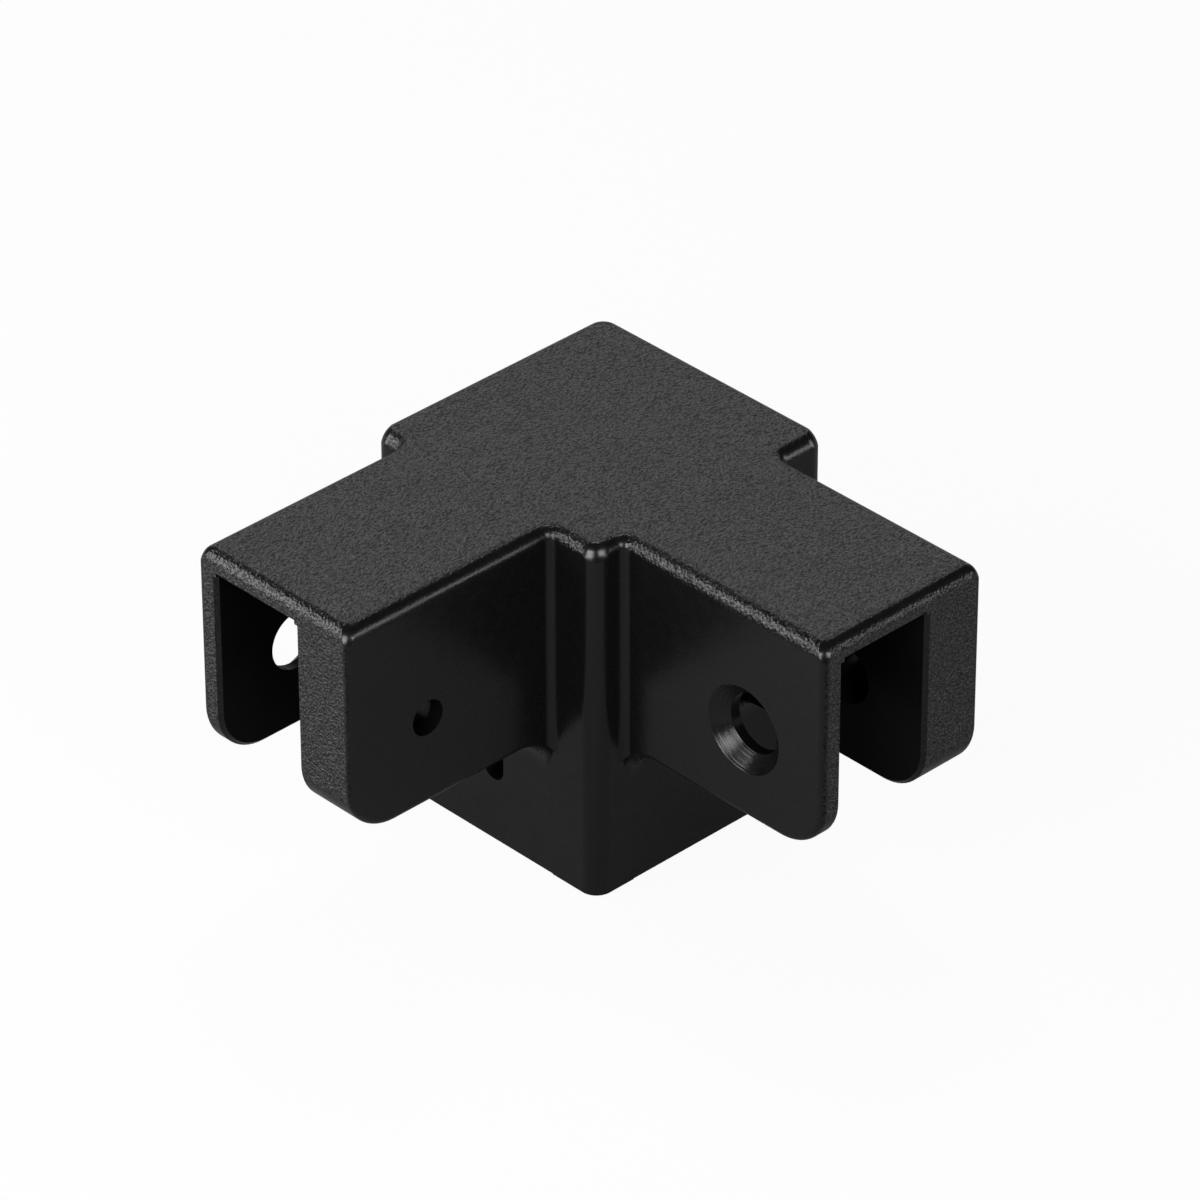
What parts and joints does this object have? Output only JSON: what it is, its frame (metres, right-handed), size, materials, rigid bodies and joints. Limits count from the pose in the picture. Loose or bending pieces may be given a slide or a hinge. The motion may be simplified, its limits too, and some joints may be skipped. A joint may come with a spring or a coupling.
{
  "type": "leg bracket",
  "caption": "Moulded corner bracket: a square leg socket with two slotted arms at right angles that clasp rail ends and bolt through them.",
  "frame": {"origin": "on the leg socket's axis, in the plane of its open lower end", "axes": "+Z along the leg socket towards the closed top, +X along one arm, +Y along the other arm"},
  "size_m": [0.092, 0.093, 0.065],
  "materials": {
    "black_plastic": "black, satin, with a fine moulded grain on the top, the rounded edges and the arm ends"
  },
  "bodies": {
    "root": {"leg_bracket": "black_plastic"}
  },
  "joints": []
}
